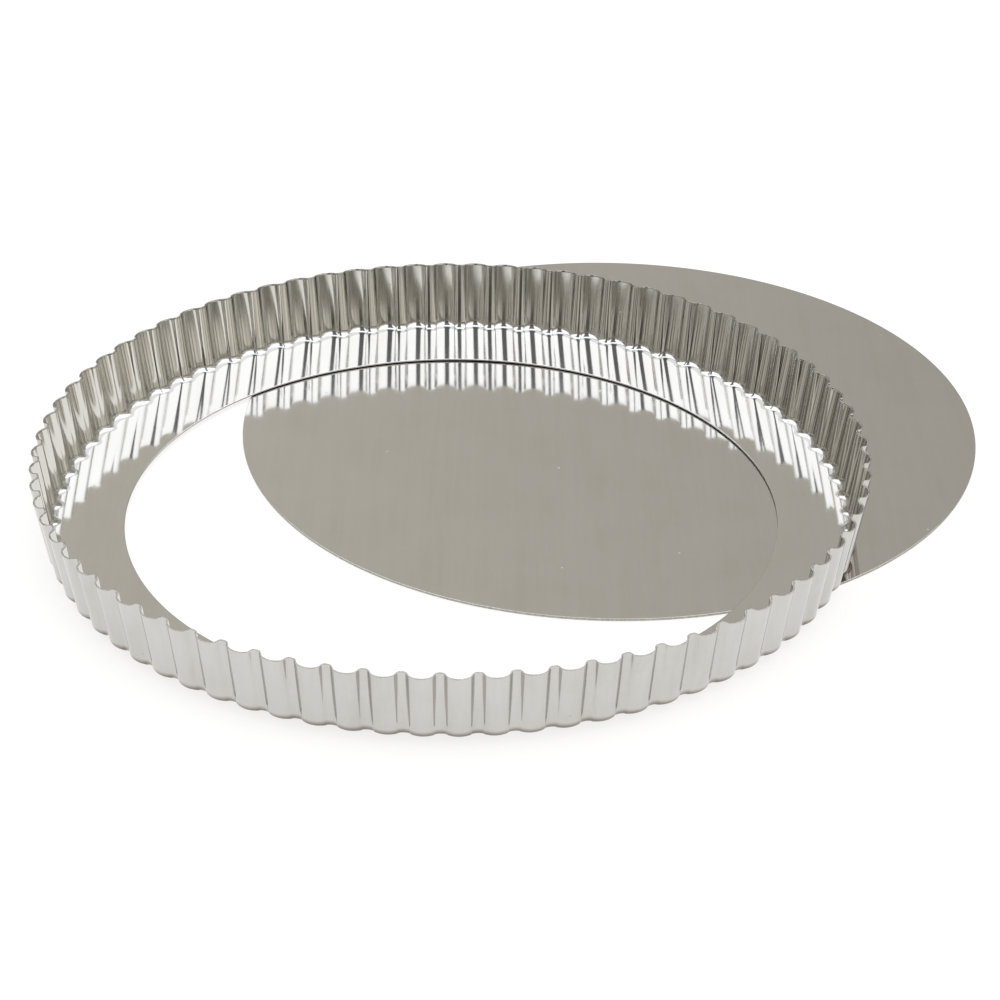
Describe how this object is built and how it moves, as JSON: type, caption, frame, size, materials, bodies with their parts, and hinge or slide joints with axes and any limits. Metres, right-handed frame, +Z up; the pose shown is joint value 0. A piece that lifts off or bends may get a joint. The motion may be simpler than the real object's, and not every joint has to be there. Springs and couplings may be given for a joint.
{
  "type": "loose-bottomed tart pan",
  "caption": "Bright tinplate tart pan: a flared, fluted ring with an in-turned flange, lying on its flat loose base disc, which slides out from under it.",
  "frame": {"origin": "on the axis of the fluted ring, at the level of the surface that the pan lies on", "axes": "+Z up along the ring's axis, towards the open top; the disc lies towards +X and +Y"},
  "size_m": [0.3247, 0.3336, 0.0272],
  "materials": {
    "tinplate": "bright rolled tinplate, softly mirror-like"
  },
  "bodies": {
    "ring": {"fluted_ring": "tinplate"},
    "disc": {"loose_disc": "tinplate"}
  },
  "joints": [
    {"name": "disc_slide", "type": "slide", "parent": "ring", "child": "disc", "axis": [0.6524, 0.7579, 0], "range_m": [-0.084, 0.19]}
  ]
}
